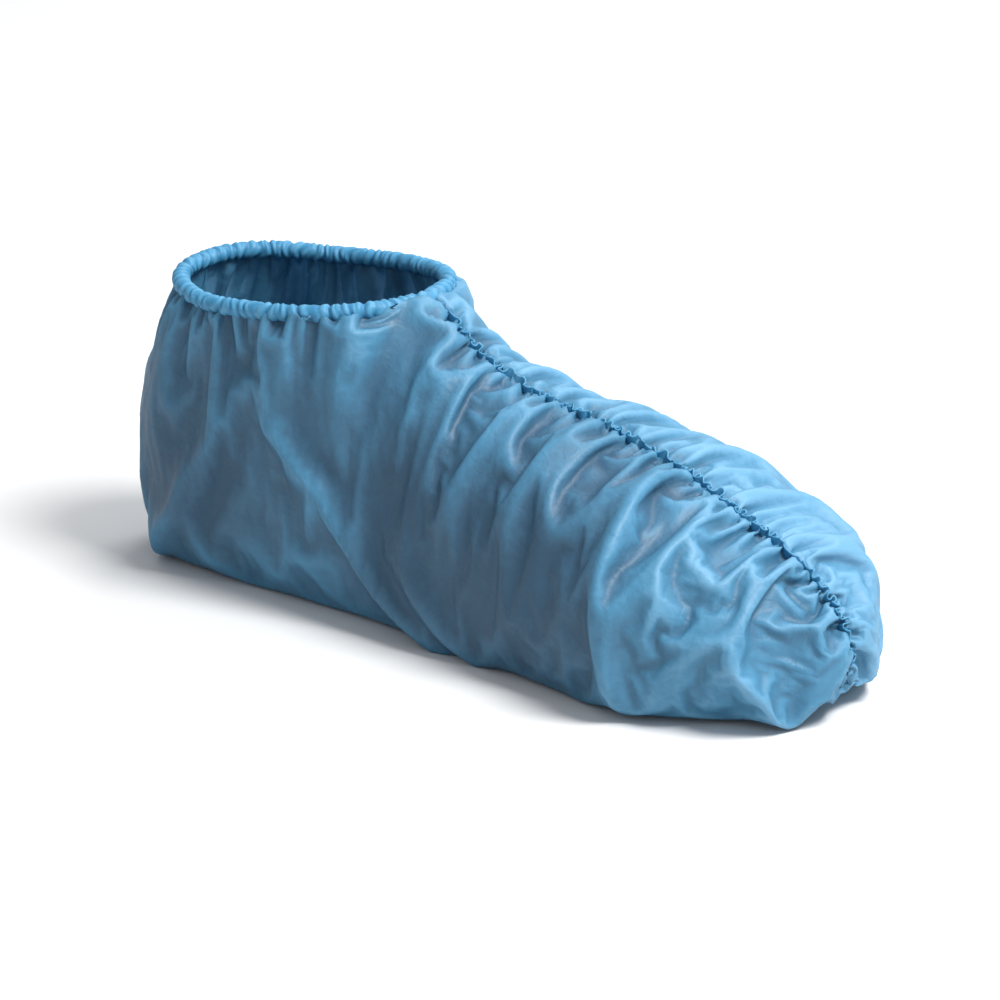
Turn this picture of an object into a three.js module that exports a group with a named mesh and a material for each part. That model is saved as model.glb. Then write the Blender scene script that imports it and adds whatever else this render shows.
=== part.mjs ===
// A disposable shoe cover, standing open as it is worn over a shoe.
// Millimetres: +X towards the toe, +Y towards the wearer's left, +Z up, the floor at z = 0.
// The cover is one sheet of film, folded under the sole and gathered along an elastic seam.
import * as THREE from "three";

// ---- driving dimensions ----
const LENGTH = 313; // heel to toe of the film
const WALL = 1.2; // film wall
const GAP = 0.35; // air between touching pieces
const PARTING = 0.5; // and between the film's three stretches
const HEEL_ROUND = 36; // length in which the heel closes, seen from above
const TOE_ROUND = 84; // the same for the toe
const HEEL_POWER = 2.3; // how square these ends are
const TOE_POWER = 2.1;
const TOE_DROP_POWER = 2.45; // the toe's profile, seen from the side
const TIP_Z = 14; // height of the foremost point
const TOE_SPRING = 0.93; // how much of that the sole rises by
const OPENING_BACK = 18; // the ankle opening, an oval
const OPENING_FRONT = 122;
const OPENING_HALF_WIDTH = 38;
const OPENING_POWER = 2.3;
const LEAN_FROM_Z = 55; // the back leans in above this height
const LEAN_TO_Z = 108;
const LEAN_REACH = 60; // and this far forward
const CORNER = 13; // width of the rounded edge of the sole
const SOLE_SHARE = 0.2; // shares of a half section given to the sole,
const CORNER_SHARE = 0.42; // and to the sole and its rounded edge
const TIP_SMOOTH = 12; // the folds die out in this last stretch
const HEM_RADIUS = 2.6;
const SEAM_HEIGHT = 4.4;
const SEAM_THICKNESS = 3.2;
const HEEL_SEAM_DEPTH = 2.6;
const HEEL_SEAM_THICKNESS = 1.8;
const ROWS = 52; // grid of the film: sections from heel to toe
const INSTEP_ROW = 24; // rows at which the film's solid is parted into heel, instep and toe
const TOE_ROW = 34;
const HALF_COLUMNS = 17; // and points from the sole's middle to the top

// One row for each section across the foot.
// wide: half width at the widest. wideZ: its height. topZ: height of the hem or seam.
// square: 2 is a round shoulder, more is a squarer one.
const SECTIONS = [
  { x: 0, wide: 35, wideZ: 26, topZ: 108, square: 2.2 },
  { x: 40, wide: 38, wideZ: 26, topZ: 107, square: 2.2 },
  { x: 90, wide: 40.5, wideZ: 25.5, topZ: 111, square: 2.2 },
  { x: 122, wide: 41.5, wideZ: 25, topZ: 114, square: 2.2 },
  { x: 150, wide: 44.5, wideZ: 24.5, topZ: 96, square: 2.3 },
  { x: 175, wide: 49, wideZ: 24, topZ: 87.5, square: 2.45 },
  { x: 203, wide: 54, wideZ: 24, topZ: 83, square: 2.57 },
  { x: 240, wide: 60, wideZ: 23, topZ: 73.5, square: 2.57 },
  { x: 266, wide: 62.4, wideZ: 22, topZ: 65, square: 2.57 },
  { x: 313, wide: 57.5, wideZ: 20, topZ: 58.5, square: 2.57 },
];

// One row for each main fold, a ridge that runs down the wall.
// side: 1 is +Y. top and foot: x at the hem or seam and at the sole's edge.
// from and to: shares of the wall's height that it covers. height: how far it stands out.
const FOLDS = [
  { side: -1, top: 14, foot: 34, from: 0.0, to: 0.95, width: 9, height: 2.6 },
  { side: -1, top: 20, foot: 122, from: -0.5, to: 0.62, width: 11, height: 4.0 },
  { side: -1, top: 84, foot: 66, from: 0.1, to: 1.0, width: 9, height: -2.2 },
  { side: -1, top: 140, foot: 118, from: 0.25, to: 1.0, width: 8, height: 2.2 },
  { side: -1, top: 176, foot: 158, from: 0.15, to: 1.0, width: 9, height: 3.2 },
  { side: -1, top: 200, foot: 186, from: 0.2, to: 1.0, width: 8, height: 2.8 },
  { side: -1, top: 226, foot: 250, from: -0.6, to: 1.0, width: 9, height: 4.2 },
  { side: -1, top: 246, foot: 268, from: 0.1, to: 0.9, width: 8, height: 2.4 },
  { side: -1, top: 262, foot: 296, from: -0.9, to: 0.5, width: 12, height: 7.0 },
  { side: 1, top: 22, foot: 30, from: 0.0, to: 0.95, width: 10, height: 2.6 },
  { side: 1, top: 64, foot: 96, from: -0.4, to: 0.8, width: 11, height: 3.4 },
  { side: 1, top: 120, foot: 128, from: 0.1, to: 1.0, width: 9, height: 2.6 },
  { side: 1, top: 158, foot: 176, from: -0.4, to: 1.0, width: 10, height: 3.4 },
  { side: 1, top: 196, foot: 206, from: 0.1, to: 1.0, width: 8, height: 2.6 },
  { side: 1, top: 232, foot: 248, from: -0.5, to: 1.0, width: 10, height: 3.4 },
  { side: 1, top: 276, foot: 292, from: -0.6, to: 0.9, width: 15, height: 3.2 },
];

const clamp = (t) => Math.min(1, Math.max(0, t));
const smooth = (t) => clamp(t) ** 2 * (3 - 2 * clamp(t));

// How far a rounded end has closed: 1 where it is full, 0 at its very end.
const closing = (intoEnd, power) => (1 - clamp(intoEnd) ** power) ** (1 / power);

// One named column of SECTIONS at x, on a curve that never overshoots its rows.
function column(name, x) {
  const steps = SECTIONS.slice(1).map((row, i) => {
    const last = SECTIONS[i];
    return { run: row.x - last.x, slope: (row[name] - last[name]) / (row.x - last.x) };
  });
  const slopeAt = (i) => {
    if (i === 0) return steps[0].slope;
    if (i === steps.length) return steps[i - 1].slope;
    const before = steps[i - 1].slope;
    const after = steps[i].slope;
    return before * after > 0 ? (2 * before * after) / (before + after) : 0;
  };
  let i = 0;
  while (i < steps.length - 1 && x > SECTIONS[i + 1].x) i += 1;
  const { run } = steps[i];
  const t = clamp((x - SECTIONS[i].x) / run);
  return (
    (1 + 2 * t) * (1 - t) ** 2 * SECTIONS[i][name] +
    t * (1 - t) ** 2 * run * slopeAt(i) +
    t * t * (3 - 2 * t) * SECTIONS[i + 1][name] +
    t * t * (t - 1) * run * slopeAt(i + 1)
  );
}

// Half width of the ankle opening at x, or 0 outside it.
function openingHalfWidth(x) {
  const middle = (OPENING_FRONT + OPENING_BACK) / 2;
  const half = (OPENING_FRONT - OPENING_BACK) / 2;
  const away = Math.min(1, Math.abs(x - middle) / half);
  return OPENING_HALF_WIDTH * (1 - away ** OPENING_POWER) ** (1 / OPENING_POWER);
}

// The unfolded film at x, across = -1 to 1 from the right top, under the sole, to the left top.
function form(x, across) {
  const heel = closing((HEEL_ROUND - x) / HEEL_ROUND, HEEL_POWER);
  const intoToe = (x - (LENGTH - TOE_ROUND)) / TOE_ROUND;
  const toe = closing(intoToe, TOE_POWER);
  const drop = closing(intoToe, TOE_DROP_POWER);
  const lean = OPENING_BACK * Math.max(0, 1 - x / LEAN_REACH);
  const wide = column("wide", x) * heel * toe;
  const top = Math.min(openingHalfWidth(x + lean), 0.97 * wide);
  const topZ = TIP_Z + (column("topZ", x) - TIP_Z) * drop;
  const soleZ = TIP_Z * (1 - drop) * TOE_SPRING;
  const wideZ = soleZ + (Math.min(column("wideZ", x), 0.45 * topZ) - soleZ) * Math.sqrt(drop);
  const power = 2 / column("square", x);
  const flat = Math.max(wide - CORNER, 0.5 * wide);
  const share = Math.abs(across);
  let y, z;
  if (share < SOLE_SHARE) {
    y = (flat * share) / SOLE_SHARE;
    z = soleZ;
  } else if (share < CORNER_SHARE) {
    const angle = ((share - SOLE_SHARE) / (CORNER_SHARE - SOLE_SHARE)) * (Math.PI / 2);
    y = flat + (wide - flat) * Math.sin(angle);
    z = wideZ - (wideZ - soleZ) * Math.cos(angle);
  } else {
    const angle = ((share - CORNER_SHARE) / (1 - CORNER_SHARE)) * (Math.PI / 2);
    y = top + (wide - top) * Math.max(0, Math.cos(angle)) ** power;
    z = wideZ + (topZ - wideZ) * Math.sin(angle) ** power;
  }
  const back = lean * smooth((z - LEAN_FROM_Z) / (LEAN_TO_Z - LEAN_FROM_Z));
  return new THREE.Vector3(x + back, Math.sign(across) * y, z);
}

// How far the folds stand out at x and across.
function foldHeight(x, across) {
  const wall = (Math.abs(across) - CORNER_SHARE) / (1 - CORNER_SHARE);
  return FOLDS.filter((fold) => fold.side === Math.sign(across)).reduce((sum, fold) => {
    const along = (wall - fold.from) / (fold.to - fold.from);
    const centre = fold.foot + (fold.top - fold.foot) * wall;
    const away = (x - centre) / fold.width;
    const fade = smooth(along / 0.25) * smooth((1 - along) / 0.25);
    return sum + fold.height * fade * Math.exp(-away * away);
  }, 0) * smooth((LENGTH - x) / TIP_SMOOTH);
}

// x of a row: rows crowd together where the heel and the toe close.
const rowX = (row) => LENGTH * (0.5 - 0.5 * Math.cos((Math.PI * row) / ROWS));

const COLUMNS = 2 * HALF_COLUMNS;
const columnAcross = (n) => (n - HALF_COLUMNS) / HALF_COLUMNS;
const isOpen = (row) => rowX(row) < OPENING_FRONT;

// The film's grid as one list of points, with its seams welded, and a strip of faces for each row.
function filmSheet() {
  const points = [];
  const folds = [];
  const rows = [];
  const ids = new Map();
  const id = (row, n) => {
    let key = `${row},${n}`;
    if (row === 0) key = `0,${Math.min(n, COLUMNS - n)}`;
    if (row === ROWS) key = `${ROWS},0`;
    if (n === COLUMNS && row > 0 && !isOpen(row)) key = `${row},0`;
    if (!ids.has(key)) {
      ids.set(key, points.length);
      points.push(form(rowX(row), columnAcross(n)));
      folds.push(foldHeight(rowX(row), columnAcross(n)));
      rows.push(row);
    }
    return ids.get(key);
  };
  const strips = [];
  for (let row = 0; row < ROWS; row += 1) {
    const faces = [];
    const face = (a, b, c) => {
      if (a !== b && b !== c && c !== a) faces.push([a, b, c]);
    };
    for (let n = 0; n < COLUMNS; n += 1) {
      const [a, b, c, d] = [id(row, n), id(row + 1, n), id(row + 1, n + 1), id(row, n + 1)];
      face(a, c, b);
      face(a, d, c);
    }
    strips.push(faces);
  }
  return { points, folds, rows, strips, id };
}

// Outward normals of the points of a sheet.
function normalsOf(points, faces) {
  const normals = points.map(() => new THREE.Vector3());
  for (const [a, b, c] of faces) {
    const across = points[b].clone().sub(points[a]);
    const n = across.cross(points[c].clone().sub(points[a]));
    for (const corner of [a, b, c]) normals[corner].add(n);
  }
  return normals.map((n) => n.normalize());
}

function geometryOf(points, faces) {
  const position = new Float32Array(points.flatMap((p) => [p.x, p.y, p.z]));
  const geometry = new THREE.BufferGeometry();
  geometry.setAttribute("position", new THREE.BufferAttribute(position, 3));
  geometry.setIndex(faces.flat());
  geometry.computeVertexNormals();
  return geometry;
}

// The film's folded outside and, one wall in, its inside.
function filmSkins(sheet) {
  const faces = sheet.strips.flat();
  const flat = normalsOf(sheet.points, faces);
  const outer = sheet.points.map((p, i) => {
    const moved = p.clone().addScaledVector(flat[i], sheet.folds[i]);
    moved.z = Math.max(moved.z, 0);
    return moved;
  });
  const normals = normalsOf(outer, faces);
  const inner = outer.map((p, i) => p.clone().addScaledVector(normals[i], -WALL));
  return { outer, inner };
}

// One closed stretch of the film's wall, between two rows of its grid. Where it is parted from the
// next stretch it ends half a parting short of the row.
function filmStretch(sheet, skins, first, last) {
  const count = sheet.points.length;
  const outside = sheet.strips.slice(first, last).flat();
  const faces = [...outside, ...outside.map(([a, b, c]) => [a + count, c + count, b + count])];
  const wall = (a, b) => faces.push([a, b, a + count], [b, b + count, a + count]);
  if (first === 0) {
    const rim = hemRows(sheet);
    rim.forEach((a, i) => wall(a, rim[(i + 1) % rim.length]));
  }
  for (let n = 0; n < COLUMNS; n += 1) {
    if (first > 0) wall(sheet.id(first, n + 1), sheet.id(first, n));
    if (last < ROWS) wall(sheet.id(last, n), sheet.id(last, n + 1));
  }
  const shorten = (row) => {
    if (row === first && first > 0) return PARTING / 2;
    return row === last && last < ROWS ? -PARTING / 2 : 0;
  };
  const vertices = [...skins.outer, ...skins.inner].map((p, i) => {
    const moved = p.clone();
    moved.x += shorten(sheet.rows[i % count]);
    return moved;
  });
  const used = [...new Set(faces.flat())];
  const order = new Map(used.map((vertex, i) => [vertex, i]));
  return geometryOf(
    used.map((vertex) => vertices[vertex]),
    faces.map((face) => face.map((corner) => order.get(corner))),
  );
}

// The points of the hem in order: forward along the right side and back along the left.
function hemRows(sheet) {
  const right = [];
  const left = [];
  let row = 0;
  for (; isOpen(row); row += 1) {
    right.push(sheet.id(row, 0));
    if (row > 0) left.unshift(sheet.id(row, COLUMNS));
  }
  return [...right, sheet.id(row, 0), ...left];
}

// A closed band of a given section carried along points. The section has its own size at each
// point, and turns so that its height follows that point's up direction.
function band(points, ups, section, closed) {
  const last = points.length - 1;
  const corners = section(0).length;
  const vertices = [];
  points.forEach((p, i) => {
    const before = points[closed ? (i + last) % points.length : Math.max(i - 1, 0)];
    const after = points[closed ? (i + 1) % points.length : Math.min(i + 1, last)];
    const ahead = after.clone().sub(before).normalize();
    const side = ups[i].clone().cross(ahead).normalize();
    const up = ahead.clone().cross(side);
    for (const [across, height] of section(i)) {
      vertices.push(p.clone().addScaledVector(side, across).addScaledVector(up, height));
    }
  });
  const faces = [];
  const rings = closed ? points.length : last;
  for (let i = 0; i < rings; i += 1) {
    for (let n = 0; n < corners; n += 1) {
      const next = (i + 1) % points.length;
      const [a, b] = [i * corners + n, i * corners + ((n + 1) % corners)];
      const [c, d] = [next * corners + n, next * corners + ((n + 1) % corners)];
      faces.push([a, d, b], [a, c, d]);
    }
  }
  for (let n = 1; !closed && n < corners - 1; n += 1) {
    const end = last * corners;
    faces.push([0, n, n + 1], [end, end + n + 1, end + n]);
  }
  return geometryOf(vertices, faces);
}

// An oval section, taller and shorter in turn where the film is gathered.
function ovalSection(thickness, height, ruffle, sides = 8) {
  return (i) => {
    const grow = 1 + ruffle * Math.cos(Math.PI * i);
    return Array.from({ length: sides }, (_, n) => {
      const angle = (2 * Math.PI * (n + 0.5)) / sides;
      return [(thickness / 2) * Math.sin(angle), (height / 2) * grow * Math.cos(angle)];
    });
  };
}

const curveThrough = (points, closed = false) =>
  new THREE.CatmullRomCurve3(points, closed, "centripetal");

// The gathered seam, from the front of the opening over the toe and down to its foot.
function toeSeam(outer, sheet) {
  const firstRow = Array.from({ length: ROWS }, (_, row) => row).find((row) => !isOpen(row)) + 1;
  const ridge = [];
  for (let row = firstRow; row <= ROWS; row += 1) ridge.push(outer[sheet.id(row, 0)]);
  const along = curveThrough(ridge);
  const steps = 60;
  const lift = SEAM_HEIGHT / 2 + GAP;
  const points = [];
  const ups = [];
  for (let i = 0; i <= steps; i += 1) {
    const t = 0.01 + (0.97 * i) / steps;
    const ahead = along.getTangentAt(t);
    const up = new THREE.Vector3(-ahead.z, 0, ahead.x).normalize();
    points.push(along.getPointAt(t).addScaledVector(up, lift * 1.12));
    ups.push(up);
  }
  return band(points, ups, ovalSection(SEAM_THICKNESS, SEAM_HEIGHT, 0.1), false);
}

// The elastic hem, a gathered ring that sits on the film's rim.
function ankleHem(outer, sheet) {
  const rim = curveThrough(hemRows(sheet).map((i) => outer[i]), true);
  const steps = 80;
  const points = [];
  const ups = [];
  for (let i = 0; i < steps; i += 1) {
    const p = rim.getPointAt(i / steps);
    p.z += HEM_RADIUS * 1.12 + GAP;
    points.push(p);
    ups.push(new THREE.Vector3(0, 0, 1));
  }
  return band(points, ups, ovalSection(1.6 * HEM_RADIUS, 2 * HEM_RADIUS, 0.1), true);
}

// The plain seam up the back of the heel.
function heelSeam(outer, sheet) {
  const back = [];
  for (let n = HALF_COLUMNS - 7; n >= 1; n -= 1) back.push(outer[sheet.id(0, n)]);
  const along = curveThrough(back);
  const steps = 16;
  const points = [];
  const ups = [];
  for (let i = 0; i <= steps; i += 1) {
    const ahead = along.getTangentAt(i / steps);
    const up = new THREE.Vector3(-ahead.z, 0, ahead.x).normalize();
    points.push(along.getPointAt(i / steps).addScaledVector(up, HEEL_SEAM_DEPTH / 2 + GAP));
    ups.push(up);
  }
  return band(points, ups, ovalSection(HEEL_SEAM_THICKNESS, HEEL_SEAM_DEPTH, 0), false);
}

// Each surface finish as a material: satin film, and the deeper blue of gathered film.
const FINISHES = {
  film: { color: 0x5fa3cb, roughness: 0.42, metalness: 0 },
  gathered: { color: 0x3f92c4, roughness: 0.5, metalness: 0 },
};

function named(name, geometry, finish) {
  const mesh = new THREE.Mesh(geometry, new THREE.MeshStandardMaterial(FINISHES[finish]));
  mesh.name = name;
  return mesh;
}

function shoeCover() {
  const sheet = filmSheet();
  const skins = filmSkins(sheet);
  const { outer } = skins;
  const cover = new THREE.Group();
  cover.add(
    named("film_heel", filmStretch(sheet, skins, 0, INSTEP_ROW), "film"),
    named("film_instep", filmStretch(sheet, skins, INSTEP_ROW, TOE_ROW), "film"),
    named("film_toe", filmStretch(sheet, skins, TOE_ROW, ROWS), "film"),
    named("toe_seam", toeSeam(outer, sheet), "gathered"),
    named("ankle_hem", ankleHem(outer, sheet), "gathered"),
    named("heel_seam", heelSeam(outer, sheet), "gathered"),
  );
  cover.position.x = -LENGTH / 2;
  return cover;
}

export default shoeCover();
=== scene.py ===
# %% [markdown]
# # A disposable shoe cover
# The cover is one thin sheet of blue plastic film. It is folded under the sole, closed at the heel by a
# plain seam and gathered by elastic twice: along a seam from the instep over the toe, and round the ankle.
# Film hardly stretches, so wherever elastic pulls it shorter it has to buckle. Those puckers and folds are
# the look of the object, and this file works them out instead of drawing them.
#
# Lengths are in millimetres until a mesh is made. x runs from the back of the heel to the toe, y to the
# wearer's left and z up from the floor.

# %% The frame and its size
import math

import bpy
import numpy as np
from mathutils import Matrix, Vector


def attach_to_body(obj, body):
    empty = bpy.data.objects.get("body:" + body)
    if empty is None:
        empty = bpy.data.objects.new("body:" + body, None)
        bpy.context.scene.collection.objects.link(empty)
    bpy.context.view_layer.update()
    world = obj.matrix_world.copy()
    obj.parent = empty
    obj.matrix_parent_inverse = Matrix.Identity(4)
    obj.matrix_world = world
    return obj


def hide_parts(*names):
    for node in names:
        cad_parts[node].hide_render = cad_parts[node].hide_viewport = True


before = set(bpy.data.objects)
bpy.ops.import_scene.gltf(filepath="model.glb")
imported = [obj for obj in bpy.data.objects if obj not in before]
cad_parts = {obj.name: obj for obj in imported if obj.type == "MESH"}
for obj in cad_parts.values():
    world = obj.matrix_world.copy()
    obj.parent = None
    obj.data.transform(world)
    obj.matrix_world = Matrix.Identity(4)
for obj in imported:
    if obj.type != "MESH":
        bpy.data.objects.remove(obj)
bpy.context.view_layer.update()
MM = 0.001
LENGTH = 313.0
CENTRE_X = LENGTH / 2

# %% [markdown]
# ## The form that the film is stretched over
# The worn shape is a row of sections across the foot. Each one is flat below, round at the edge of the sole
# and arched above, and a few named numbers say how wide and how high it is. In between the rows the numbers
# follow a curve that never overshoots them. This is the same form as the construction model has.

# %% The sections of the form
SECTIONS = {
    "x": [0, 40, 90, 122, 150, 175, 203, 240, 266, 313],
    "wide": [35, 38, 40.5, 41.5, 44.5, 49, 54, 60, 62.4, 57.5],
    "wide_z": [26, 26, 25.5, 25, 24.5, 24, 24, 23, 22, 20],
    "top_z": [108, 107, 111, 114, 96, 87.5, 83, 73.5, 65, 58.5],
    "square": [2.2, 2.2, 2.2, 2.2, 2.3, 2.45, 2.57, 2.57, 2.57, 2.57],
}
HEEL_ROUND, HEEL_POWER = 36.0, 2.3
TOE_ROUND, TOE_POWER, TOE_DROP_POWER = 84.0, 2.1, 2.45
TIP_Z, TOE_SPRING = 14.0, 0.93
OPENING_BACK, OPENING_FRONT, OPENING_HALF_WIDTH, OPENING_POWER = 18.0, 122.0, 38.0, 2.3
LEAN_FROM_Z, LEAN_TO_Z, LEAN_REACH = 55.0, 108.0, 60.0
CORNER = 13.0
SOLE_SHARE, CORNER_SHARE = 0.2, 0.42


def smooth(t):
    """0 to 1 with level ends: 3 t squared - 2 t cubed, held outside."""
    t = np.clip(t, 0, 1)
    return t * t * (3 - 2 * t)


def section(name, x):
    """One column of SECTIONS at x: a cubic between two rows, with harmonic mean slopes at the rows."""
    at, value = np.array(SECTIONS["x"], float), np.array(SECTIONS[name], float)
    run, slope = np.diff(at), np.diff(value) / np.diff(at)
    pairs = slope[:-1] * slope[1:]
    total = np.where(pairs > 0, slope[:-1] + slope[1:], 1)
    slopes = np.concatenate([slope[:1], np.where(pairs > 0, 2 * pairs / total, 0), slope[-1:]])
    i = np.clip(np.searchsorted(at, x, side="right") - 1, 0, len(run) - 1)
    t = np.clip((x - at[i]) / run[i], 0, 1)
    return (
        (1 + 2 * t) * (1 - t) ** 2 * value[i]
        + t * (1 - t) ** 2 * run[i] * slopes[i]
        + t * t * (3 - 2 * t) * value[i + 1]
        + t * t * (t - 1) * run[i] * slopes[i + 1]
    )


def closing(into_end, power):
    """How full a rounded end still is: 1 where it starts and 0 at its very end."""
    return (1 - np.clip(into_end, 0, 1) ** power) ** (1 / power)


def opening_half_width(x):
    """Half the width of the oval ankle opening at x, and 0 outside it."""
    middle, half = (OPENING_FRONT + OPENING_BACK) / 2, (OPENING_FRONT - OPENING_BACK) / 2
    return OPENING_HALF_WIDTH * closing(np.abs(x - middle) / half, OPENING_POWER)


def form(x, across):
    """Points of the form. across runs from -1, the right top edge, under the sole to 1, the left one.

    The sole is level, its edge a quarter of an ellipse, and the upper a quarter of a squarish ellipse:
    y = top + (wide - top) cos^p and z = wide_z + (top_z - wide_z) sin^p, where p is 2 / square.
    """
    x, across = np.broadcast_arrays(np.asarray(x, float), np.asarray(across, float))
    heel = closing((HEEL_ROUND - x) / HEEL_ROUND, HEEL_POWER)
    into_toe = (x - (LENGTH - TOE_ROUND)) / TOE_ROUND
    drop = closing(into_toe, TOE_DROP_POWER)
    lean = OPENING_BACK * np.maximum(0, 1 - x / LEAN_REACH)
    wide = section("wide", x) * heel * closing(into_toe, TOE_POWER)
    top = np.minimum(opening_half_width(x + lean), 0.97 * wide)
    top_z = TIP_Z + (section("top_z", x) - TIP_Z) * drop
    sole_z = TIP_Z * (1 - drop) * TOE_SPRING
    wide_z = sole_z + (np.minimum(section("wide_z", x), 0.45 * top_z) - sole_z) * np.sqrt(drop)
    power = 2 / section("square", x)
    flat = np.maximum(wide - CORNER, 0.5 * wide)
    share = np.abs(across)
    edge = np.clip((share - SOLE_SHARE) / (CORNER_SHARE - SOLE_SHARE), 0, 1) * np.pi / 2
    rise = np.clip((share - CORNER_SHARE) / (1 - CORNER_SHARE), 0, 1)
    even = rise ** (1 / power)
    arch = even / (even + (1 - rise) ** (1 / power)) * np.pi / 2
    y = np.where(share < SOLE_SHARE, flat * share / SOLE_SHARE, flat + (wide - flat) * np.sin(edge))
    y = np.where(share > CORNER_SHARE, top + (wide - top) * np.cos(arch) ** power, y)
    z = np.where(share > CORNER_SHARE, wide_z + (top_z - wide_z) * np.sin(arch) ** power,
                 wide_z - (wide_z - sole_z) * np.cos(edge))
    back = lean * smooth((z - LEAN_FROM_Z) / (LEAN_TO_Z - LEAN_FROM_Z))
    return np.stack([x + back, np.sign(across) * y, z], axis=-1)


# %% [markdown]
# ## The film as a grid
# The sheet is a grid of points: rows across the foot from heel to toe, and columns along it. Rows lie closer
# in the toe, where the puckers are, and columns closer beside the seam. Coarse grids find the large folds
# quickly and a fine one then adds the small ones, so the grid is a function of its size.

# %% The grid of the film
def grid(rows, half_columns):
    """x of each row, and across of each column, as a column and a row of numbers."""
    t = np.linspace(0, 1, rows) ** 0.82
    x = LENGTH * (0.5 - 0.5 * np.cos(np.pi * t))
    across = np.linspace(-1, 1, 2 * half_columns + 1)
    return x[:, None], across[None, :]


def normals_of(points):
    """Outward unit normals of a grid: the cross product of its two directions."""
    along = np.gradient(points, axis=0)
    over = np.gradient(points, axis=1)
    n = -np.cross(along, over)
    return n / np.maximum(np.linalg.norm(n, axis=-1, keepdims=True), 1e-9)


def length_along(points, axis):
    """Lengths between neighbours along one direction of a grid."""
    return np.linalg.norm(np.diff(points, axis=axis), axis=-1)


def from_top(points):
    """How far each point is from the top edge of its side, measured down along its row."""
    steps = length_along(points, 1)
    run = np.concatenate([np.zeros((len(points), 1)), np.cumsum(steps, axis=1)], axis=1)
    return np.minimum(run, run[:, -1:] - run)


# %% [markdown]
# ## Letting the film buckle
# Every edge of the grid has the length that it had in the flat sheet, and beside the elastic that is longer
# than the room it is left. Position based dynamics is a plain way to find how such a sheet settles: each
# edge in turn moves its two ends until it has its own length again, and after many rounds all of them
# nearly do. Diagonals make it shear as little as film does, and a weaker link from each point to the next
# but one makes it bend smoothly. Between rounds the points are kept outside a last and above the floor.

# %% Links between the points of a grid
def links_of(rows, columns, step, phase_axis):
    """First and second points of the links by step = (rows, columns), in two sets that share no point."""
    ids = np.arange(rows * columns).reshape(rows, columns)
    down, over = step
    first = ids[: rows - down, max(0, -over): columns - max(0, over)]
    second = ids[down:, max(0, over): columns + min(0, over)]
    size = step[phase_axis]
    number = np.arange(first.shape[phase_axis]) // size % 2
    picked = number[:, None] if phase_axis == 0 else number[None, :]
    picked = np.broadcast_to(picked, first.shape)
    return [(first[picked == k], second[picked == k]) for k in (0, 1)]


LINKS = [  # step in rows and columns, the direction that parts the two sets, strength against pull and push
    ((1, 0), 0, 1.0, 0.9),
    ((0, 1), 1, 1.0, 0.9),
    ((1, 1), 0, 0.8, 0.7),
    ((1, -1), 0, 0.8, 0.7),
    ((2, 0), 0, 0.0, 0.03),
    ((0, 2), 1, 0.0, 0.03),
]


def flat_links(base, stretch_u, stretch_v):
    """The links with the lengths of the flat sheet: those of the base form, made longer where it gathers."""
    rows, columns = base.shape[:2]
    pu = length_along(base, 0) * (stretch_u[1:] + stretch_u[:-1]) / 2
    pv = length_along(base, 1) * (stretch_v[:, 1:] + stretch_v[:, :-1]) / 2
    lengths = {
        (1, 0): pu,
        (0, 1): pv,
        (2, 0): pu[1:] + pu[:-1],
        (0, 2): pv[:, 1:] + pv[:, :-1],
    }
    mean_u = (pu[:, 1:] + pu[:, :-1]) / 2
    mean_v = (pv[1:] + pv[:-1]) / 2
    scale = np.hypot(mean_u, mean_v)
    base_u = (length_along(base, 0)[:, 1:] + length_along(base, 0)[:, :-1]) / 2
    base_v = (length_along(base, 1)[1:] + length_along(base, 1)[:-1]) / 2
    scale = scale / np.maximum(np.hypot(base_u, base_v), 1e-9)
    lengths[(1, 1)] = np.linalg.norm(base[1:, 1:] - base[:-1, :-1], axis=-1) * scale
    lengths[(1, -1)] = np.linalg.norm(base[1:, :-1] - base[:-1, 1:], axis=-1) * scale
    made = []
    for step, phase_axis, pull, push in LINKS:
        down, over = step
        field = np.zeros((rows, columns))
        field[: rows - down, max(0, -over): columns - max(0, over)] = lengths[step]
        flat = field.ravel()
        for first, second in links_of(rows, columns, step, phase_axis):
            made.append((first, second, flat[first], pull, push))
    return made


def settle(points, base, links, pinned, rounds, inside, outside):
    """Moves the points of a grid until its links have their lengths, near enough.

    pinned points stay. The others stay above the floor and within inside and outside of the base form,
    measured along its normals.
    """
    shape = points.shape
    p = points.reshape(-1, 3).copy()
    start = base.reshape(-1, 3)
    out = normals_of(base).reshape(-1, 3)
    free = (~pinned).ravel().astype(float)
    inside, outside = (np.broadcast_to(v, shape[:2]).ravel() for v in (inside, outside))
    jobs = []
    for first, second, flat, pull, push in links:
        total = free[first] + free[second]
        share = np.where(total > 0, 1 / np.maximum(total, 1), 0)
        jobs.append((first, second, flat, pull, push, free[first] * share, free[second] * share))
    for _ in range(rounds):
        for first, second, flat, pull, push, give_first, give_second in jobs:
            gap = p[second] - p[first]
            now = np.sqrt(np.einsum("ij,ij->i", gap, gap)) + 1e-9
            off = 1 - flat / now
            off *= np.where(off > 0, pull, push)
            gap *= off[:, None]
            p[first] += gap * give_first[:, None]
            p[second] -= gap * give_second[:, None]
        height = np.einsum("ij,ij->i", p - start, out)
        p += out * ((np.clip(height, -inside, outside) - height) * free * 0.5)[:, None]
        p[:, 2] = np.maximum(p[:, 2], 0)
    return p.reshape(shape)


def finer(points, rows, columns):
    """The same surface on a finer grid, by straight lines between its points."""
    old_rows, old_columns = points.shape[:2]
    at = np.linspace(0, old_rows - 1, rows)
    i = np.minimum(at.astype(int), old_rows - 2)
    part = (at - i)[:, None, None]
    points = points[i] * (1 - part) + points[i + 1] * part
    at = np.linspace(0, old_columns - 1, columns)
    j = np.minimum(at.astype(int), old_columns - 2)
    part = (at - j)[None, :, None]
    return points[:, j] * (1 - part) + points[:, j + 1] * part


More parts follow.
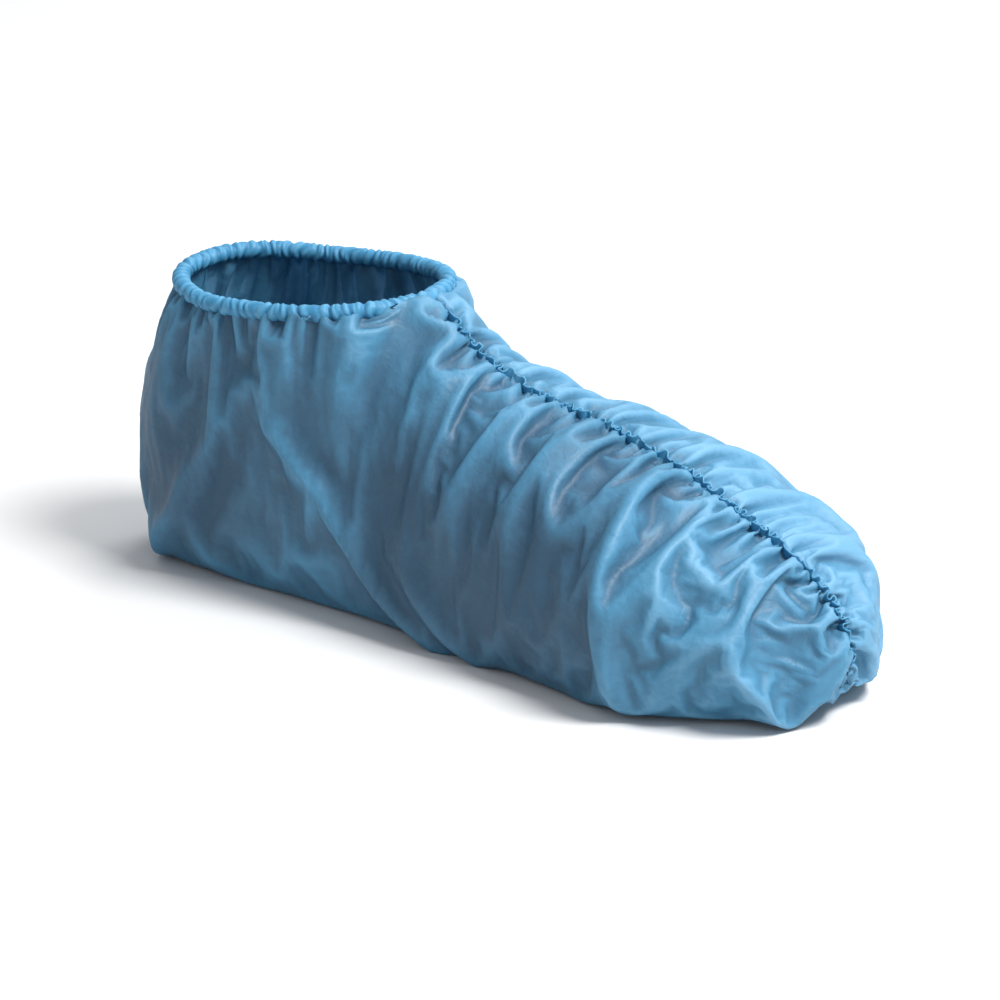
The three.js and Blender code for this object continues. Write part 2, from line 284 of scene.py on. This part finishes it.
# %% [markdown]
# ## How much film is gathered where
# Beside the toe seam the elastic takes up a third of the film, and the excess fades within a few
# centimetres. At the ankle it is more, and under the sole there is none. At the foot of the seam the film
# also has too much width, because the corners of a flat sheet end there.

# %% Gathering
SEAM_GATHER, SEAM_REACH = 0.55, 8.0
SEAM_FOLDS, SEAM_FOLDS_REACH = 0.13, 34.0
HEM_GATHER, HEM_REACH = 0.55, 12.0
HEM_FOLDS, HEM_FOLDS_REACH = 0.035, 24.0
TIP_GATHER, TIP_REACH = 0.30, 26.0
FRONT_CALM, FRONT_REACH = 0.75, 26.0
SLACK = 0.014


def gathers(base, level):
    """How much longer the flat sheet is than the form, along it and across it. level 0 has only the broad
    folds, 1 has all of the fine gathers."""
    top = from_top(base)
    x = base[..., 0]
    at_seam = smooth((x - OPENING_FRONT + 6) / 12)
    fine = at_seam * SEAM_GATHER * np.exp(-top / SEAM_REACH)
    fine += (1 - at_seam) * HEM_GATHER * np.exp(-top / HEM_REACH)
    fine *= 1 - FRONT_CALM * np.exp(-((x - OPENING_FRONT + 8) / FRONT_REACH) ** 2)
    broad = at_seam * SEAM_FOLDS * np.exp(-top / SEAM_FOLDS_REACH)
    broad += (1 - at_seam) * HEM_FOLDS * np.exp(-top / HEM_FOLDS_REACH)
    tip = np.linalg.norm(base - form(LENGTH, 0.0), axis=-1)
    around_tip = np.exp(-tip / TIP_REACH)
    upper = smooth((base[..., 2] - 2) / 8)
    loose = looseness(base)
    along = 1 + upper * ((SLACK + broad) * loose + fine * level)
    over = 1 + upper * (SLACK * loose + TIP_GATHER * around_tip * (0.4 + 0.6 * level))
    return along, over


# %% [markdown]
# The large folds don't come by chance: each starts where the hand or the foot pulled. A short table places
# them, as ridges that run down the wall, and the film is laid over them before it settles.

# %% The main folds
FOLDS = [  # side, x at the top, x at the foot, shares of the wall from and to, width, height
    (-1, 10, 44, -0.4, 0.95, 8, 2.6),
    (-1, 122, 36, -0.6, 0.48, 6, 5.6),
    (-1, -6, 128, -0.6, 0.52, 6, 6.4),
    (-1, 40, 152, -0.8, 0.24, 7, 4.0),
    (-1, 96, 84, 0.2, 1.05, 7, 2.2),
    (-1, 128, 104, 0.3, 1.05, 6, 2.6),
    (-1, 150, 134, 0.25, 1.05, 6, 2.6),
    (-1, 183, 164, 0.1, 1.05, 6, 3.6),
    (-1, 206, 196, 0.15, 1.05, 6, 3.2),
    (-1, 236, 252, -0.4, 1.05, 5, 5.6),
    (-1, 258, 270, 0.1, 1.0, 6, 3.0),
    (-1, 262, 297, -0.9, 0.4, 8, 9.0),
    (1, 22, 30, 0.0, 0.95, 10, 2.6),
    (1, 64, 96, -0.4, 0.8, 11, 3.4),
    (1, 120, 128, 0.1, 1.0, 9, 2.6),
    (1, 158, 176, -0.4, 1.0, 10, 3.0),
    (1, 196, 206, 0.1, 1.0, 9, 2.2),
    (1, 232, 248, -0.5, 1.0, 12, 2.6),
    (1, 276, 292, -0.6, 0.9, 16, 3.2),
]
TIP_SMOOTH = 12.0


def fold_height(x, across):
    """How far the folds stand out: for each a rounded tent across its line, faded at both of its ends."""
    wall = (np.abs(across) - CORNER_SHARE) / (1 - CORNER_SHARE)
    total = np.zeros(np.broadcast(x, across).shape)
    for side, top, foot, low, high, width, height in FOLDS:
        along = (wall - low) / (high - low)
        away = np.abs(x - (foot + (top - foot) * wall)) / width
        fade = smooth(along / 0.25) * smooth((1 - along) / 0.25) * (np.sign(across) == side)
        total = total + height * fade * np.exp(-np.sqrt(away * away + 0.05) ** 1.5)
    return total * smooth((LENGTH - x) / TIP_SMOOTH)


# %% Settling the film, from a coarse grid to a fine one
LEVELS = [(81, 30, 0.0, 260), (161, 50, 0.45, 320), (321, 75, 1.0, 420)]  # rows, half columns, level, rounds
WAVES = {0.0: (30.0, 60.0), 0.45: (13.0, 34.0), 1.0: (5.4, 12.0)}  # level: wavelength, reach from the top
INSIDE, OUTSIDE = 0.9, 3.8


def ripple(x, top, length, height, seed):
    """A gentle uneven wave along x, strongest at the top edge, which tells the film where to buckle."""
    rng = np.random.default_rng(seed)
    total = np.zeros(np.broadcast(x, top).shape)
    for k in range(5):
        wave = length * rng.uniform(0.7, 1.5)
        total = total + np.sin(2 * np.pi * x / wave + rng.uniform(0, 6.28) + rng.normal(0, 0.02) * top)
    return total * height / 5


def crumple(points, wave, seed):
    """Uneven dents all over: the product of a few waves that run in random directions through the points."""
    rng = np.random.default_rng(seed)
    total = np.zeros(points.shape[:-1])
    for _ in range(7):
        direction = rng.normal(size=3)
        direction *= 2 * np.pi / (wave * rng.uniform(0.8, 2.0) * np.linalg.norm(direction))
        total = total + np.abs(np.sin(points @ direction + rng.uniform(0, 6.28))) - 0.64
    return total / 2


def uneven_turns(run, length):
    """A phase that grows by a turn in each length, sooner in one place and later in another."""
    return 2 * np.pi * run / length + 1.2 * np.sin(run / (length * 0.9)) + 0.8 * np.sin(run / (length * 2.3))


def looseness(points):
    """1 on the smooth left side, more on the right side and most round the toe."""
    x, y = points[..., 0], points[..., 1]
    right = smooth((6 - y) / 12)
    toe = smooth((x - 205) / 60)
    return 1 + 0.9 * right + 0.9 * toe * right + 0.3 * toe


def pins(rows, columns):
    """The points that elastic or a seam holds: both top edges, the heel seam and the tip of the toe."""
    held = np.zeros((rows, columns), bool)
    held[:, [0, -1]] = True
    held[[0, -1], :] = True
    return held


def settled_film():
    """The film after all levels, with the form that it was laid on."""
    film = None
    for rows, half, level, rounds in LEVELS:
        x, across = grid(rows, half)
        bare = form(x, across)
        base = bare + normals_of(bare) * fold_height(x, across)[..., None]
        base[[0, -1], :] = bare[[0, -1], :]
        base[:, [0, -1]] = bare[:, [0, -1]]
        base[..., 2] = np.maximum(base[..., 2], 0)
        out = normals_of(base)
        film = base if film is None else finer(film, rows, base.shape[1])
        top = from_top(base)
        along_seam = np.concatenate([[0], np.cumsum(length_along(base[:, :1], 0)[:, 0])])[:, None]
        wave, reach = WAVES[level]
        bump = ripple(along_seam, top, wave, wave * 0.12, 5 + rows) * np.exp(-top / reach)
        bump = bump + crumple(base, wave * 1.4, 40 + rows) * wave * 0.05
        film = film + out * (bump * smooth(base[..., 2] / 10) * looseness(base))[..., None]
        held = pins(rows, base.shape[1])
        film[held] = base[held]
        swing = 0.7 * np.sin(uneven_turns(along_seam[:, 0], wave)) * (level > 0.9)
        film[:, 0, 1] += swing * (x[:, 0] > OPENING_FRONT + 6) * (x[:, 0] < LENGTH - 4)
        film[:, -1] = np.where(x > OPENING_FRONT, film[:, 0], film[:, -1])
        links = flat_links(base, *gathers(base, level))
        room = 1 + 0.6 * (looseness(base) - 1)
        film = settle(film, base, links, held, rounds, INSIDE * room, OUTSIDE * room)
        print("film settled on", rows, "by", base.shape[1], "points")
    return x, base, film


def rounded_heel(film):
    """The film with the lower back corner drawn in and up a little, as the heel of a shoe leaves it loose."""
    x, z = film[..., 0], film[..., 2]
    moved = film.copy()
    moved[..., 0] += 6.5 * smooth(1 - x / 36) * smooth(1 - z / 22)
    moved[..., 2] += 2.6 * smooth(1 - x / 20) * smooth(1 - z / 22)
    return moved


row_x, base, film = settled_film()
film = rounded_heel(film)

# %% [markdown]
# ## From points to a mesh
# At the heel the two halves of the sheet meet in a seam, at the toe all columns end in one point, and in
# front of the ankle the two top edges are sewn together. Points that are one on the real sheet share one
# number, so the mesh is closed there.

# %% Meshes
def new_piece(name, points, faces, material, slot, *replaced):
    """A smooth shaded piece from points in millimetres, riding on the only body."""
    data = bpy.data.meshes.new(name)
    place = np.array(points, float).reshape(-1, 3) - (CENTRE_X, 0, 0)
    data.from_pydata((place * MM).tolist(), [], faces)
    data.validate()
    data.polygons.foreach_set("use_smooth", np.ones(len(data.polygons), bool))
    data.materials.append(material)
    piece = bpy.data.objects.new(name, data)
    bpy.context.scene.collection.objects.link(piece)
    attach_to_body(piece, "root")
    if replaced:
        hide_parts(*replaced)
    print(name, len(data.vertices), "points", len(data.polygons), "faces")
    return piece


def welded_ids(rows, columns, open_rows):
    """Numbers of the grid's points, with those that are one point on the sheet sharing a number."""
    ids = np.arange(rows * columns).reshape(rows, columns)
    half = columns // 2
    ids[0, half + 1:] = ids[0, :half][::-1]
    ids[-1, :] = ids[-1, 0]
    ids[open_rows:, -1] = ids[open_rows:, 0]
    return ids


def grid_faces(ids):
    """Outward faces of a grid of numbers: quads, and triangles where two corners are one point."""
    quads = np.stack([ids[:-1, :-1], ids[:-1, 1:], ids[1:, 1:], ids[1:, :-1]], axis=-1).reshape(-1, 4)
    faces = []
    for quad in quads.tolist():
        corners = list(dict.fromkeys(quad))
        if len(corners) > 2:
            faces.append(corners)
    return faces


# %% [markdown]
# ## The finish of the film
# The film is satin plastic with a fine embossed grain. Light and shade are painted into its colour: where it
# stands off and where it is doubled in folds painted highlights make it a clear light blue, and where it lies flat
# over the hollow painted shade makes it deeper and greyer. A number kept at each point of the sheet, called
# painted_light, says which, and noise breaks it up. Small creases that are finer than the mesh are bump. Some
# light passes through, so a Translucent shader takes a share.

# %% Material helpers
def node(tree, kind, **values):
    """A new node with some of its inputs, named with _ for spaces, or its own settings given."""
    made = tree.nodes.new(kind)
    for key, value in values.items():
        name = key.replace("_", " ")
        if name in made.inputs:
            made.inputs[name].default_value = value
        else:
            setattr(made, key, value)
    return made


def ramp(tree, source, stops):
    """A colour ramp that reads source. stops are places from 0 to 1 with their colours."""
    made = tree.nodes.new("ShaderNodeValToRGB")
    elements = made.color_ramp.elements
    while len(elements) < len(stops):
        elements.new(0.5)
    for element, (place, colour) in zip(elements, stops):
        element.position = place
        element.color = (*colour, 1)
    tree.links.new(source, made.inputs["Fac"])
    return made


def arithmetic(tree, operation, first, second):
    """A Math node of two inputs, each a socket or a number."""
    made = tree.nodes.new("ShaderNodeMath")
    made.operation = operation
    for n, value in enumerate((first, second)):
        if hasattr(value, "links"):
            tree.links.new(value, made.inputs[n])
        else:
            made.inputs[n].default_value = value
    return made.outputs["Value"]


# %% Film
# The film's ramp: the darkest stop is painted shade and the lightest a painted highlight on crests, with the film's
# blues between.
SHADED_BLUE, MIDDLE = (0.038, 0.104, 0.178), (0.058, 0.172, 0.285)
LIGHT, HIGHLIT_BLUE = (0.076, 0.262, 0.430), (0.160, 0.390, 0.590)


def film_finish(name, stops, roughness, through, crease):
    """Satin film: colour from painted light and shade and noise, creases and grain as bump, and a share of light
    let through.
    """
    material = bpy.data.materials.new(name)
    material.use_nodes = True
    tree = material.node_tree
    shader = tree.nodes["Principled BSDF"]
    place = node(tree, "ShaderNodeTexCoord").outputs["Object"]
    # Painted light and shade, kept at each point of the mesh.
    painted_light = node(tree, "ShaderNodeAttribute", attribute_name="painted_light").outputs["Fac"]
    cloudy = node(tree, "ShaderNodeTexNoise", Scale=38.0, Detail=4.0, Roughness=0.6, Distortion=0.6)
    fine = node(tree, "ShaderNodeTexNoise", Scale=210.0, Detail=3.0, Roughness=0.55, Distortion=1.2)
    creases = node(tree, "ShaderNodeTexVoronoi", feature="F1", Scale=75.0, Randomness=1.0)
    grain = node(tree, "ShaderNodeTexNoise", Scale=1500.0, Detail=1.0)
    warp = node(tree, "ShaderNodeVectorMath", operation="MULTIPLY_ADD")
    warp.inputs[1].default_value = (0.012, 0.012, 0.012)
    tree.links.new(cloudy.outputs["Color"], warp.inputs[0])
    tree.links.new(place, warp.inputs[2])
    for texture in (cloudy, fine, grain):
        tree.links.new(place, texture.inputs["Vector"])
    tree.links.new(warp.outputs["Vector"], creases.inputs["Vector"])
    wander = arithmetic(tree, "MULTIPLY", arithmetic(tree, "SUBTRACT", cloudy.outputs["Fac"], 0.5), 0.55)
    streak = arithmetic(tree, "MULTIPLY", arithmetic(tree, "SUBTRACT", fine.outputs["Fac"], 0.5), 0.28)
    # The tone is painted light and shade, broken up by random cloudy tone and streaks.
    tone = arithmetic(tree, "ADD", arithmetic(tree, "ADD", painted_light, wander), streak)
    colour = ramp(tree, tone, stops)
    tree.links.new(colour.outputs["Color"], shader.inputs["Base Color"])
    gloss = arithmetic(tree, "ADD", arithmetic(tree, "MULTIPLY", fine.outputs["Fac"], 0.18), roughness - 0.09)
    tree.links.new(gloss, shader.inputs["Roughness"])
    shader.inputs["Specular IOR Level"].default_value = 0.42
    shader.inputs["IOR"].default_value = 1.5
    height = arithmetic(tree, "ADD", arithmetic(tree, "MULTIPLY", creases.outputs["Distance"], 0.7),
                        arithmetic(tree, "MULTIPLY", fine.outputs["Fac"], 0.35))
    wrinkle = node(tree, "ShaderNodeBump", Strength=crease, Distance=0.0016)
    tree.links.new(height, wrinkle.inputs["Height"])
    emboss = node(tree, "ShaderNodeBump", Strength=0.16, Distance=0.0002)
    tree.links.new(grain.outputs["Fac"], emboss.inputs["Height"])
    tree.links.new(wrinkle.outputs["Normal"], emboss.inputs["Normal"])
    tree.links.new(emboss.outputs["Normal"], shader.inputs["Normal"])
    glow = node(tree, "ShaderNodeBsdfTranslucent")
    tree.links.new(colour.outputs["Color"], glow.inputs["Color"])
    tree.links.new(emboss.outputs["Normal"], glow.inputs["Normal"])
    both = node(tree, "ShaderNodeMixShader", Fac=through)
    tree.links.new(shader.outputs["BSDF"], both.inputs[1])
    tree.links.new(glow.outputs["BSDF"], both.inputs[2])
    tree.links.new(both.outputs["Shader"], tree.nodes["Material Output"].inputs["Surface"])
    print("finish", name)
    return material


FILM_STOPS = [(0.0, SHADED_BLUE), (0.36, MIDDLE), (0.68, LIGHT), (1.0, HIGHLIT_BLUE)]
# The gathered film's ramp runs from painted shade in roots and grooves to painted light on free edges.
GATHERED_STOPS = [(0.0, (0.030, 0.190, 0.370)), (0.5, (0.055, 0.270, 0.470)), (1.0, (0.110, 0.350, 0.560))]
film_material = film_finish("film", FILM_STOPS, 0.49, 0.22, 0.5)
gathered_material = film_finish("gathered film", GATHERED_STOPS, 0.5, 0.15, 0.25)


# %% [markdown]
# ## The sheet
# painted_light, the painted light and shade of the film, is high round the toe, on the left side and up near the
# seam, and low, as painted shade, over the flat of the right side. Folds that stand off lift it as painted
# highlights and dips lower it as painted shade. The wall gets its thickness from Solidify, inwards.

# %% The sheet of film
def attach(piece, name, values):
    """Keeps one number for each point of a piece's mesh."""
    layer = piece.data.attributes.new(name, "FLOAT", "POINT")
    layer.data.foreach_set("value", np.asarray(values, np.float32).ravel())


def blob(x, z, centre_x, centre_z, reach_x, reach_z):
    """A soft patch: a bell curve in two directions."""
    return np.exp(-((x - centre_x) / reach_x) ** 2 - ((z - centre_z) / reach_z) ** 2)


def painted_light_of(film, base):
    """Painted light and shade of the film at each point, from 0 for painted shade to 1 for a painted highlight."""
    x, y, z = film[..., 0], film[..., 1], film[..., 2]
    # Painted shade over the right side, painted light on the left.
    right = smooth((14 - y) / 28)
    # Patches of painted shade where the film lies flat over the hollow.
    painted_shade = 0.66 * blob(x, z, 210, 36, 36, 36) + 0.50 * blob(x, z, 144, 50, 26, 26)
    painted_shade += 0.50 * blob(x, z, 38, 42, 28, 36) + 0.34 * blob(x, z, 156, 22, 30, 22)
    top = from_top(base)
    # Painted shade on the right side and in the patches, painted light towards the toe.
    level = 0.74 - 0.32 * right - np.minimum(painted_shade, 0.6) * right + 0.20 * smooth((x - 232) / 40)
    # Painted shade along the top edges, in the valley beside the seam and the hem.
    level -= 0.10 * np.exp(-top / 12)
    out = normals_of(base)
    # Painted highlights where the film stands off and on the crests of small folds, painted shade in dips.
    stands = np.einsum("...i,...i->...", film - averaged(film, 26), out)
    crest = np.einsum("...i,...i->...", film - averaged(film, 4), out)
    crest = np.clip(crest / np.percentile(np.abs(crest), 94), -1, 1)
    return np.clip(level + 0.08 * np.clip(stands, -2.5, 2.5) + 0.15 * crest, 0.0, 1)


def averaged(film, rounds):
    """The film with its folds smoothed away, by averaging each point with its neighbours, again and again."""
    soft = film.copy()
    for _ in range(rounds):
        soft[1:-1] = (soft[:-2] + soft[2:] + 2 * soft[1:-1]) / 4
        soft[:, 1:-1] = (soft[:, :-2] + soft[:, 2:] + 2 * soft[:, 1:-1]) / 4
    return soft


open_rows = int(np.argmax(row_x[:, 0] >= OPENING_FRONT))
ids = welded_ids(*film.shape[:2], open_rows)
faces = grid_faces(ids)
used = np.unique(np.concatenate([np.array(f) for f in faces]))
lookup = np.zeros(ids.size, int)
lookup[used] = np.arange(len(used))
faces = [lookup[f].tolist() for f in faces]
cover = new_piece("film_sheet", film.reshape(-1, 3)[used], faces, film_material, "film",
                  "film_heel", "film_instep", "film_toe")
attach(cover, "painted_light", painted_light_of(film, base).reshape(-1)[used])
wall = cover.modifiers.new("wall", "SOLIDIFY")
wall.thickness = 0.45 * MM
wall.offset = -1

# %% [markdown]
# ## The gathered seam
# Both edges of the sheet are folded over an elastic thread and sewn, so the seam stands up as a narrow frill.
# The elastic has drawn it together, and it snakes from side to side in tight uneven turns. The frill is a
# ribbon of two parameters, along the seam and up from it, and its swing grows towards its free edge.

# %% Frills
def path_frame(points):
    """Distance along a path, and its unit direction at each point."""
    steps = np.linalg.norm(np.diff(points, axis=0), axis=1)
    run = np.concatenate([[0], np.cumsum(steps)])
    ahead = np.gradient(points, axis=0)
    return run, ahead / np.maximum(np.linalg.norm(ahead, axis=1, keepdims=True), 1e-9)


def evenly(points, count):
    """The same path with count points at equal distances."""
    run, _ = path_frame(points)
    at = np.linspace(0, run[-1], count)
    return np.stack([np.interp(at, run, points[:, k]) for k in range(3)], axis=1)


def uneven(run, length, seed, spread=0.9):
    """A phase that grows by a turn in each length, sooner in one place and later in another."""
    rng = np.random.default_rng(seed)
    phase = 2 * np.pi * run / length
    for wave in (4.3, 7.9, 15.1):
        phase = phase + spread * np.sin(2 * np.pi * run / (length * wave) + rng.uniform(0, 6.28)) * wave ** 0.5
    return phase


def ribbon_faces(rows, columns, closed=False):
    """Faces of a grid of rows and columns, joined end to end where it is closed."""
    numbers = np.arange(rows * columns).reshape(rows, columns)
    if closed:
        numbers = np.concatenate([numbers, numbers[:1]])
    quads = np.stack([numbers[:-1, :-1], numbers[1:, :-1], numbers[1:, 1:], numbers[:-1, 1:]], axis=-1)
    return quads.reshape(-1, 4).tolist()


def frill(path, up, height, swing, length, levels, seed):
    """A snaking ribbon: each point is the path, up by its level and sideways by swing sin(phase), where the
    swing grows with the level. The free edge rises and falls, and it leans forward and back as it snakes."""
    run, ahead = path_frame(path)
    side = np.cross(up, ahead)
    side /= np.linalg.norm(side, axis=1, keepdims=True)
    phase = uneven(run, length, seed)[:, None]
    level = np.linspace(0, 1, levels)[None, :]
    sway = np.sin(phase + 0.35 * level) * (0.35 + 0.65 * level ** 0.8)
    lean = np.cos(2 * phase + 1.0) * 0.22 * swing * level
    tall = height * (1 + 0.16 * np.sin(phase * 0.5 + 1) + 0.12 * np.sin(phase * 1.31))
    fade = smooth(np.minimum(run, run[-1] - run) / 6)[:, None]
    tall = tall * (0.35 + 0.65 * fade)
    points = (
        path[:, None]
        + up[:, None] * (level * tall - 0.7)[..., None]
        + side[:, None] * (swing * fade * sway)[..., None]
        + ahead[:, None] * lean[..., None]
    )
    # The second value is painted light and shade: painted shade at the root, lighter towards the free edge and on
    # the side each turn swings to.
    return points, (0.35 + 0.35 * level + 0.25 * sway * np.ones_like(tall))


# %% The seam over the toe
SEAM_TALL, SEAM_SWING, SEAM_WAVE = 3.6, 1.5, 4.8
ridge = evenly(film[open_rows + 1: -2, 0], 900)
_, seam_ahead = path_frame(ridge)
seam_up = np.stack([-seam_ahead[:, 2], np.zeros(len(ridge)), seam_ahead[:, 0]], axis=1)
points, painted_light = frill(ridge, seam_up, SEAM_TALL, SEAM_SWING, SEAM_WAVE, 8, 3)
seam = new_piece("toe_seam_frill", points.reshape(-1, 3), ribbon_faces(*points.shape[:2]),
                 gathered_material, "gathered_film", "toe_seam")
attach(seam, "painted_light", painted_light)
thick = seam.modifiers.new("wall", "SOLIDIFY")
thick.thickness = 0.5 * MM
thick.offset = 0

# %% [markdown]
# ## The ankle hem
# At the ankle the film is turned over the elastic and forms a tube, drawn up in deep pleats. It is a circle
# carried round the mouth, and its radius dips sharply in each pleat.

# %% The hem
HEM_TUBE, HEM_WAVE, HEM_PLEAT = 3.1, 4.4, 0.24


def hem_tube(path, radius, length, pleat, around, seed):
    """A pleated ring: radius times 1 - pleat |cos(phase / 2)| to the sixth, deeper inside and below."""
    closed = np.concatenate([path[-1:], path, path[:1]])
    run, ahead = path_frame(closed)
    run, ahead = run[1:-1] - run[1], ahead[1:-1]
    whole = np.linalg.norm(np.diff(np.concatenate([path, path[:1]]), axis=0), axis=1).sum()
    turns = round(whole / length)
    phase = uneven(run, whole / turns, seed, 0.0)
    for k, lift in ((3, 0.7), (5, 0.6), (11, 0.5), (17, 0.4)):
        phase = phase + lift * np.sin(2 * np.pi * k * run / whole + k)
    up = np.array([0.0, 0.0, 1.0])
    side = np.cross(up, ahead)
    side /= np.linalg.norm(side, axis=1, keepdims=True)
    upward = np.cross(ahead, side)
    angle = np.linspace(0, 2 * np.pi, around, endpoint=False)[None, :]
    twist = phase[:, None] + 1.6 * np.sin(angle + phase[:, None] / 5) + 0.9 * np.sin(2 * angle + phase[:, None] / 7)
    groove = np.abs(np.cos(twist / 2)) ** 3
    second = np.abs(np.cos(0.79 * twist + 1.1 * np.cos(angle))) ** 4
    r = radius * (1.10 - pleat * groove * (0.7 + 0.3 * np.sin(phase[:, None] / 2.6)) - 0.5 * pleat * second)
    points = (path[:, None] + side[:, None] * (r * np.sin(angle))[..., None]
              + upward[:, None] * (r * np.cos(angle))[..., None])
    # The second value is painted light and shade: painted shade in the grooves of the pleats.
    return points, 0.75 - 0.6 * groove


mouth = np.concatenate([film[:open_rows + 1, 0], film[1:open_rows, -1][::-1]])
mouth = evenly(np.concatenate([mouth, mouth[:1]]), 1001)[:-1]
for _ in range(40):
    mouth = (np.roll(mouth, 1, axis=0) + np.roll(mouth, -1, axis=0) + 2 * mouth) / 4
mouth[:, 2] += HEM_TUBE * 0.1
points, painted_light = hem_tube(mouth, HEM_TUBE, HEM_WAVE, HEM_PLEAT, 20, 7)
numbers = np.arange(points.shape[0] * points.shape[1]).reshape(points.shape[:2])
numbers = np.concatenate([numbers, numbers[:, :1]], axis=1)
numbers = np.concatenate([numbers, numbers[:1]])
quads = np.stack([numbers[:-1, :-1], numbers[1:, :-1], numbers[1:, 1:], numbers[:-1, 1:]], axis=-1)
hem = new_piece("ankle_hem_tube", points.reshape(-1, 3), quads.reshape(-1, 4).tolist(),
                gathered_material, "gathered_film", "ankle_hem")
attach(hem, "painted_light", painted_light)

# %% [markdown]
# ## The heel seam
# The back is closed by a plain weld, and the trimmed edge beyond it is a low fin that waves a little.

# %% The fin up the heel
heel_line = evenly(film[0, :film.shape[1] // 2][::-1], 260)
heel_line = heel_line[(heel_line[:, 2] > 8) & (heel_line[:, 2] < 106)]
_, heel_ahead = path_frame(heel_line)
heel_up = np.stack([-heel_ahead[:, 2], np.zeros(len(heel_line)), heel_ahead[:, 0]], axis=1)
points, painted_light = frill(heel_line, heel_up, 2.6, 0.45, 9.0, 5, 13)
fin = new_piece("heel_seam_fin", points.reshape(-1, 3), ribbon_faces(*points.shape[:2]),
                gathered_material, "gathered_film", "heel_seam")
attach(fin, "painted_light", painted_light)
thick = fin.modifiers.new("wall", "SOLIDIFY")
thick.thickness = 0.5 * MM
thick.offset = 0

# %% [markdown]
# ## Floor, light and camera

# %% Floor, light and camera
def studio():
    floor_data = bpy.data.meshes.new("floor")
    size = 6.0
    floor_data.from_pydata([(-size, -size, 0), (size, -size, 0), (size, size, 0), (-size, size, 0)], [],
                           [(0, 1, 2, 3)])
    paper = bpy.data.materials.new("floor")
    paper.use_nodes = True
    paper.node_tree.nodes["Principled BSDF"].inputs["Base Color"].default_value = (0.72, 0.72, 0.72, 1)
    paper.node_tree.nodes["Principled BSDF"].inputs["Roughness"].default_value = 0.8
    floor_data.materials.append(paper)
    floor = bpy.data.objects.new("floor", floor_data)
    bpy.context.scene.collection.objects.link(floor)
    world = bpy.data.worlds.new("studio")
    world.use_nodes = True
    world.node_tree.nodes["Background"].inputs["Color"].default_value = (0.95, 0.97, 1, 1)
    world.node_tree.nodes["Background"].inputs["Strength"].default_value = 0.58
    bpy.context.scene.world = world


AZIMUTH, ELEVATION, DISTANCE, FRAME_WIDTH = 38.74, 19.36, 3.2, 0.36


def turned(azimuth, elevation):
    """Unit vector from the object towards something at that azimuth and elevation, in degrees."""
    a, e = math.radians(azimuth), math.radians(elevation)
    return np.array([math.sin(a) * math.cos(e), -math.cos(a) * math.cos(e), math.sin(e)])


def aim(thing, place, target):
    """Puts a light or the camera at place and turns it towards target."""
    thing.location = place
    thing.rotation_euler = (Vector(target) - Vector(place)).to_track_quat("-Z", "Y").to_euler()


def soft_light(name, azimuth, elevation, distance, size, power):
    lamp = bpy.data.lights.new(name, "AREA")
    lamp.shape = "DISK"
    lamp.size = size
    lamp.energy = power
    thing = bpy.data.objects.new(name, lamp)
    bpy.context.scene.collection.objects.link(thing)
    aim(thing, turned(azimuth, elevation) * distance, (0, 0, 0.04))


studio()
soft_light("key", 95, 58, 1.6, 0.7, 34)
soft_light("back", 190, 50, 1.8, 0.9, 12)

camera_data = bpy.data.cameras.new("camera")
camera = bpy.data.objects.new("camera", camera_data)
bpy.context.scene.collection.objects.link(camera)
target = np.array([0.0, 0.0, 0.045])
aim(camera, target + turned(AZIMUTH, ELEVATION) * DISTANCE, target)
camera_data.sensor_width = 36
camera_data.lens = 36 * DISTANCE / FRAME_WIDTH
bpy.context.scene.camera = camera
bpy.context.scene.view_settings.view_transform = "Standard"
